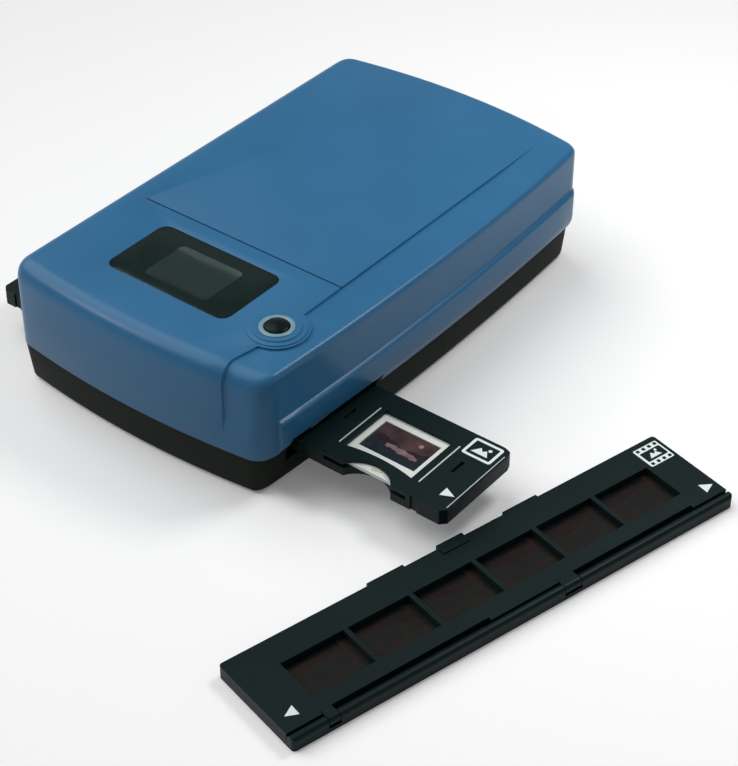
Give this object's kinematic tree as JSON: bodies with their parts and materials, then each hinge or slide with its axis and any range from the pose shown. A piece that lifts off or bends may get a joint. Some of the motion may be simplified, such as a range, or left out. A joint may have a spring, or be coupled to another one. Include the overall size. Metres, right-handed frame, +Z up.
{
  "type": "film negative scanner",
  "caption": "Desktop film and slide scanner with a motor-fed slide holder through its case and a hinged strip holder lying beside it.",
  "frame": {"origin": "on the table under the middle of the whole set's bounding box", "axes": "+X to the scanner's right, where the slide holder comes out, +Y to its rear, +Z up"},
  "size_m": [0.3927, 0.402, 0.0772],
  "materials": {
    "case_blue": "satin metallic blue paint on moulded plastic",
    "case_black": "fine matte texture",
    "holder_plastic": "fine satin texture",
    "dark_moulding": "matte",
    "rubber": "matte",
    "steel": "brushed",
    "screw_steel": "zinc plated",
    "brass": "turned",
    "window": "polished tinted acrylic",
    "display": "smooth display glass",
    "board": "solder mask",
    "button_dark": "polished",
    "ring_silver": "satin silver plating",
    "gear_white": "moulded acetal",
    "frame_alloy": "cast alloy",
    "mount_white": "moulded slide mount",
    "slide_film": "colour slide film",
    "negative_film": "colour negative film",
    "mirror": "front-surface mirror",
    "glass": "polished optical glass",
    "sensor": "ceramic package"
  },
  "bodies": {
    "case": {"base_tub": "case_black", "top_cover": "case_blue", "rubber_feet": "rubber", "case_screws": "screw_steel", "display_window": "window", "display_module": "display", "front_board": "board", "button_ring": "ring_silver", "button_spring": "steel", "main_board": "board", "usb_socket": "steel", "power_jack": "dark_moulding", "switch_frame": "dark_moulding", "mechanism_frame": "frame_alloy", "holder_track": "dark_moulding", "lamp_board": "board", "lamp_diffuser": "mount_white", "feed_shaft": "steel", "feed_motor": "steel", "guide_rods": "steel", "scan_motor": "steel", "home_sensor": "dark_moulding"},
    "button": {"scan_button": "button_dark"},
    "rocker": {"power_rocker": "dark_moulding"},
    "slide_holder": {"slide_holder_base": "holder_plastic", "slide_holder_cover": "holder_plastic", "slide_mounts": "mount_white", "slide_films": "slide_film"},
    "gear": {"feed_gear": "gear_white"},
    "pinion": {"feed_pinion": "brass"},
    "scan_carriage": {"carriage": "dark_moulding", "carriage_nut": "brass", "mirror": "mirror", "lens_barrel": "dark_moulding", "lens_front": "glass", "lens_rear": "glass", "sensor_board": "board", "line_sensor": "sensor"},
    "screw": {"lead_screw": "steel"},
    "strip_holder": {"strip_holder_base": "holder_plastic", "strip_hinge_pins": "steel", "film_strip": "negative_film"},
    "strip_lid": {"strip_holder_lid": "holder_plastic", "strip_latch": "holder_plastic"}
  },
  "joints": [
    {"name": "button_press", "type": "slide", "parent": "case", "child": "button", "axis": [0, 0, -1], "range_m": [0, 0.0012], "stiffness_N_per_m": 400, "deforming": ["button_spring"]},
    {"name": "power_switch", "type": "hinge", "parent": "case", "child": "rocker", "pos_m": [-0.0905, 0.192, 0.017], "axis": [1, 0, 0], "range_deg": [0, 24]},
    {"name": "holder_feed", "type": "slide", "parent": "case", "child": "slide_holder", "axis": [1, 0, 0], "range_m": [-0.135, 0.14]},
    {"name": "feed_gear_spin", "type": "hinge", "parent": "case", "child": "gear", "pos_m": [-0.0423, 0.0095, 0.02], "axis": [0, 0, 1], "continuous": true},
    {"name": "feed_pinion_spin", "type": "hinge", "parent": "case", "child": "pinion", "pos_m": [-0.02714, 0.02315, 0.028], "axis": [0, 0, 1], "continuous": true},
    {"name": "carriage_scan", "type": "slide", "parent": "case", "child": "scan_carriage", "axis": [1, 0, 0], "range_m": [-0.019, 0.019]},
    {"name": "screw_spin", "type": "hinge", "parent": "case", "child": "screw", "pos_m": [-0.0725, 0.1065, 0.044], "axis": [1, 0, 0], "continuous": true},
    {"name": "strip_holder_lift", "type": "slide", "parent": "case", "child": "strip_holder", "axis": [0.5806, -0.1512, 0.8], "range_m": [0, 0.06]},
    {"name": "strip_lid_hinge", "type": "hinge", "parent": "strip_holder", "child": "strip_lid", "pos_m": [0.16064, -0.07118, 0.005], "axis": [0.2521, 0.9677, 0], "range_deg": [0, 180]}
  ],
  "couplings": [
    {"joint": "feed_gear_spin", "follows": "holder_feed", "rad_per_m": 100},
    {"joint": "feed_pinion_spin", "follows": "holder_feed", "rad_per_m": -300},
    {"joint": "screw_spin", "follows": "carriage_scan", "rad_per_m": -3141.6}
  ]
}
